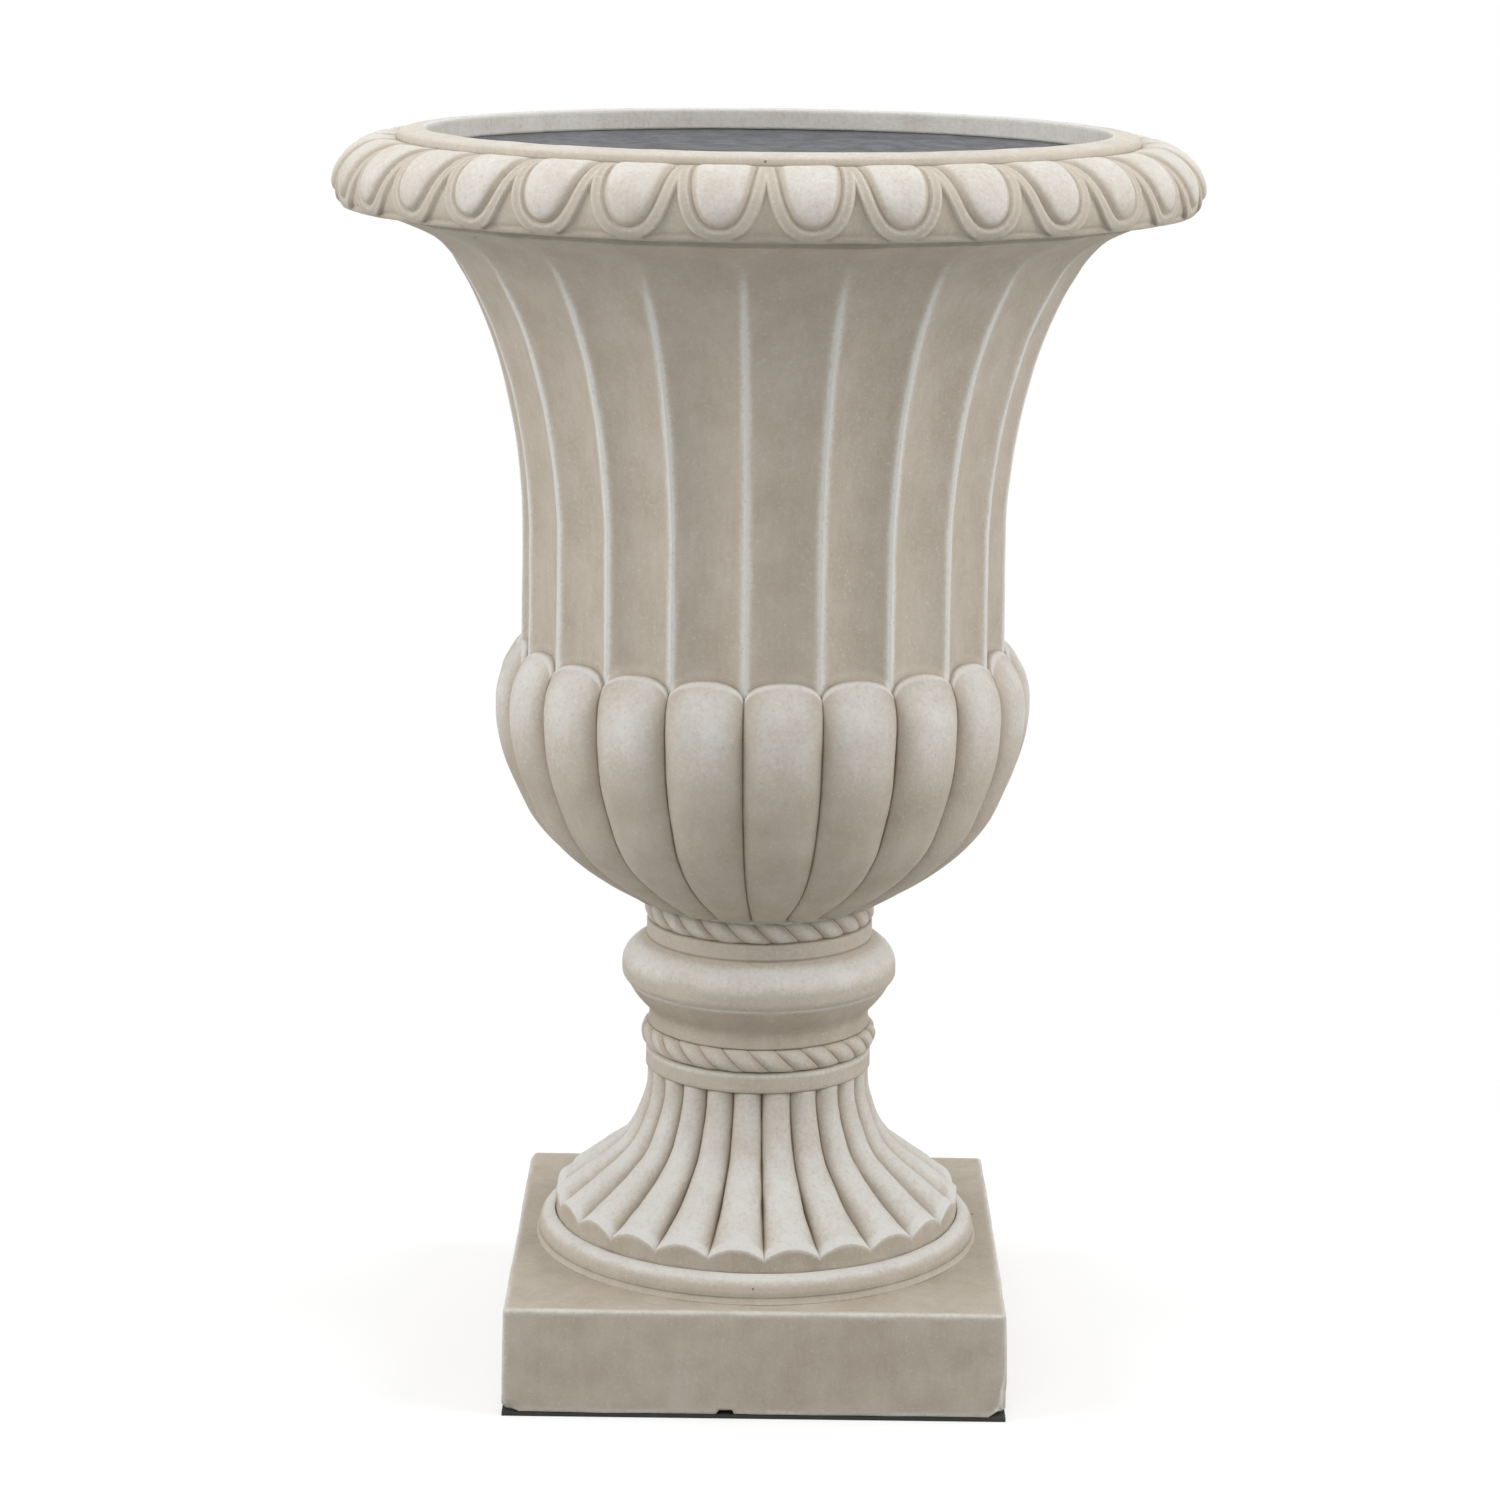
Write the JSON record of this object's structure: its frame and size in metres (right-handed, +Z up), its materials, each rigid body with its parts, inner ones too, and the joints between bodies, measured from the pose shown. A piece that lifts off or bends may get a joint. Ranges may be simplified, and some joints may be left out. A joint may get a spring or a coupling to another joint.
{
  "type": "urn planter",
  "caption": "Pedestal urn planter with a fluted, gadrooned bowl, an egg band under the rim, a reeded foot and a square plinth.",
  "frame": {"origin": "middle of the underside, on the ground", "axes": "+Z up along the urn's own axis; the front, with the weep notch at its lower edge, faces -Y; +X to the right seen from the front"},
  "size_m": [0.4788, 0.4788, 0.7023],
  "materials": {
    "cast_stone": "matt, beige wash in the hollows with a whitish dry-brushed bloom on the raised parts",
    "mortar": "rough, pale",
    "rubber": "matt black",
    "galvanised_steel": "zinc-plated"
  },
  "bodies": {
    "root": {"bowl": "cast_stone", "pedestal": "cast_stone", "plinth": "cast_stone", "bowl_bedding": "mortar", "foot_bedding": "mortar", "base_pad": "rubber", "tie_rod": "galvanised_steel", "seal_washer": "rubber", "steel_washers": "galvanised_steel", "nuts": "galvanised_steel", "bridge_bar": "galvanised_steel"}
  },
  "joints": []
}
